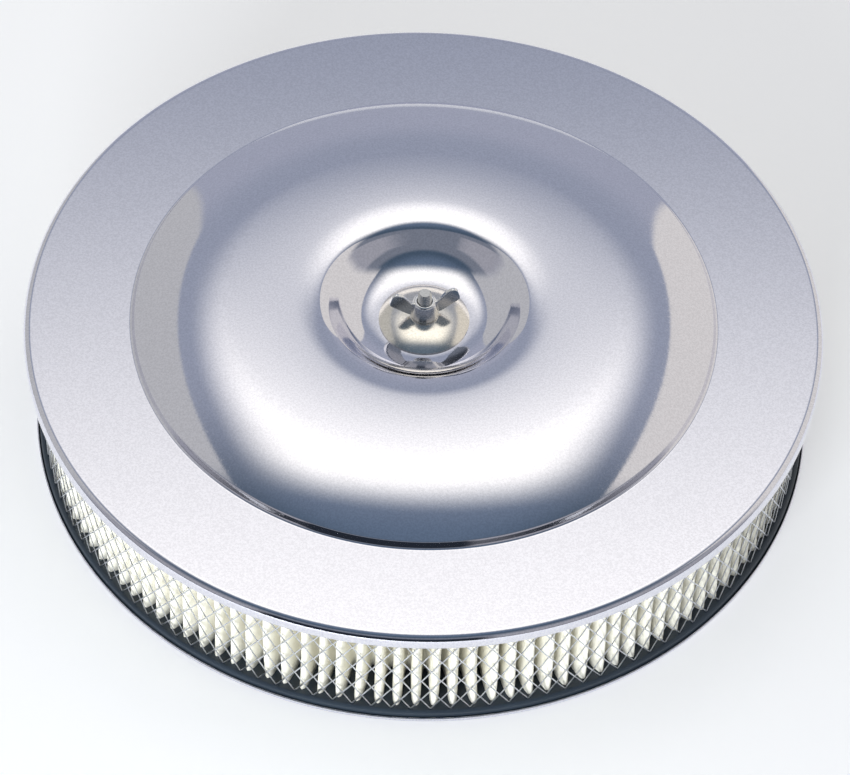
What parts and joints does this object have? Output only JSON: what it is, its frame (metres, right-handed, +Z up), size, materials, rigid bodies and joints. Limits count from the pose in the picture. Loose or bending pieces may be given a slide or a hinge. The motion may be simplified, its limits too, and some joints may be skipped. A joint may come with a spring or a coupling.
{
  "type": "carburetor air cleaner",
  "caption": "Round chrome air cleaner: dished lid and base pan round a pleated paper filter with a diamond screen, held by a stud and wing nut.",
  "frame": {"origin": "on the axis, at the level of the surface that the base pan stands on", "axes": "+Z up along the stud towards the wing nut; X and Y are any two radii"},
  "size_m": [0.3556, 0.3556, 0.0824],
  "materials": {
    "lid_chrome": "polished chrome plate",
    "pan_chrome": "polished chrome plate",
    "fixing_chrome": "bright chrome plate",
    "stud_steel": "zinc-plated steel",
    "screen_steel": "galvanised expanded steel",
    "seal_rubber": "moulded, satin",
    "filter_paper": "matt filter paper"
  },
  "bodies": {
    "base": {"base_pan": "pan_chrome", "neck_gasket": "seal_rubber", "bottom_seal": "seal_rubber", "top_seal": "seal_rubber", "pleated_paper": "filter_paper", "outer_screen": "screen_steel", "inner_screen": "screen_steel"},
    "cover": {"lid": "lid_chrome", "domed_washer": "fixing_chrome"},
    "nut": {"wing_nut": "fixing_chrome"},
    "stud": {"center_stud": "stud_steel"}
  },
  "joints": [
    {"name": "lid_lift", "type": "slide", "parent": "base", "child": "cover", "axis": [0, 0, 1], "range_m": [0, 0.1]},
    {"name": "nut_turn", "type": "hinge", "parent": "cover", "child": "nut", "pos_m": [0, 0, 0.0678], "axis": [0, 0, 1], "range_deg": [0, 3960]},
    {"name": "stud_travel", "type": "slide", "parent": "cover", "child": "stud", "axis": [0, 0, -1], "range_m": [0, 0.01398]}
  ],
  "couplings": [
    {"joint": "stud_travel", "follows": "nut_turn", "m_per_rad": 0.00020213}
  ]
}
